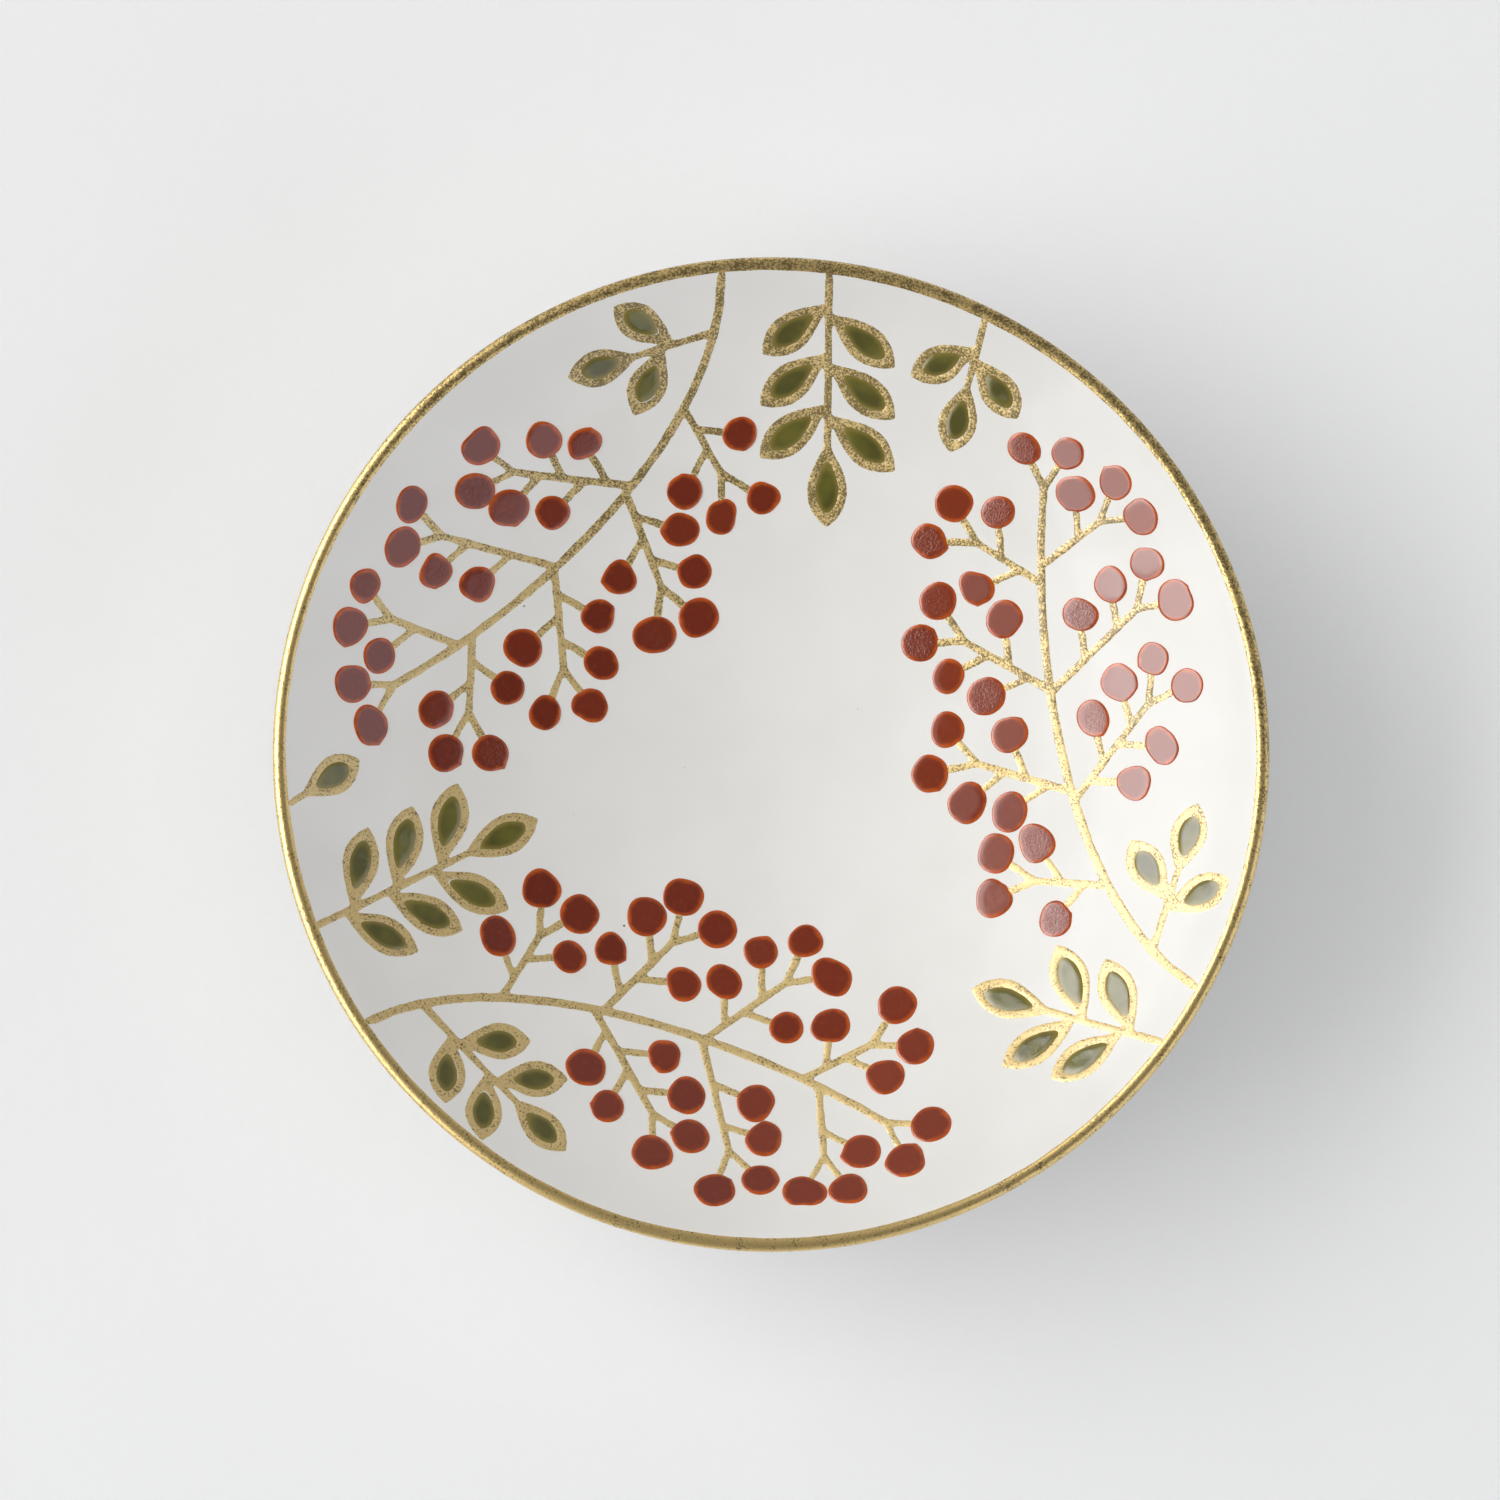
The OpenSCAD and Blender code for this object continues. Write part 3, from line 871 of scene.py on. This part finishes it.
def ramp(low, high, to_low, to_high, kind="LINEAR"):
    """A world node that maps one range to another."""
    n = tree.nodes.new("ShaderNodeMapRange")
    n.interpolation_type = kind
    for k, value in enumerate((low, high, to_low, to_high), 1):
        n.inputs[k].default_value = value
    return n


way = tree.nodes.new("ShaderNodeSeparateXYZ")
around = ramp(0, 1, 0.25, 0.44)
above = ramp(0.52, 0.74, 1, 0.55, "SMOOTHSTEP")
level = tree.nodes.new("ShaderNodeMath")
level.operation = "MULTIPLY"
tree.links.new(tree.nodes.new("ShaderNodeTexCoord").outputs["Generated"], way.inputs[0])
tree.links.new(way.outputs["Y"], around.inputs[0])
tree.links.new(way.outputs["Z"], above.inputs[0])
tree.links.new(around.outputs[0], level.inputs[0])
tree.links.new(above.outputs[0], level.inputs[1])
tree.links.new(level.outputs[0], tree.nodes["Background"].inputs[1])
tree.nodes["Background"].inputs[0].default_value = (1, 1, 1, 1)
scene = bpy.context.scene
scene.world = world
scene.view_settings.view_transform = "Standard"

# Camera: almost straight above, from where the rim fills the photograph as it does there
RIM_PX = 499.2
CENTRE_PX = (771.1, 750.6)
IMAGE_PX = 1500
FIELD = math.radians(20)
ELEVATION = math.radians(86.5)
scale = RIM_PX / RIM_R
distance = IMAGE_PX / 2 / math.tan(FIELD / 2) / scale
offset = ((CENTRE_PX[0] - IMAGE_PX / 2) / scale, (CENTRE_PX[1] - IMAGE_PX / 2) / scale)
cam_data = bpy.data.cameras.new("camera")
cam_data.sensor_width = 36
cam_data.lens = cam_data.sensor_width / 2 / math.tan(FIELD / 2)
cam = bpy.data.objects.new("camera", cam_data)
back = Vector((0, -math.cos(ELEVATION), math.sin(ELEVATION)))
turn = (-back).to_track_quat("-Z", "Y")
aim = Vector((0, 0, DISH_H)) - turn @ Vector((offset[0], -offset[1], 0))
cam.rotation_mode = "QUATERNION"
cam.rotation_quaternion = turn
cam.location = aim + back * distance
cam_data.clip_start = 0.01
bpy.context.collection.objects.link(cam)
scene.camera = cam
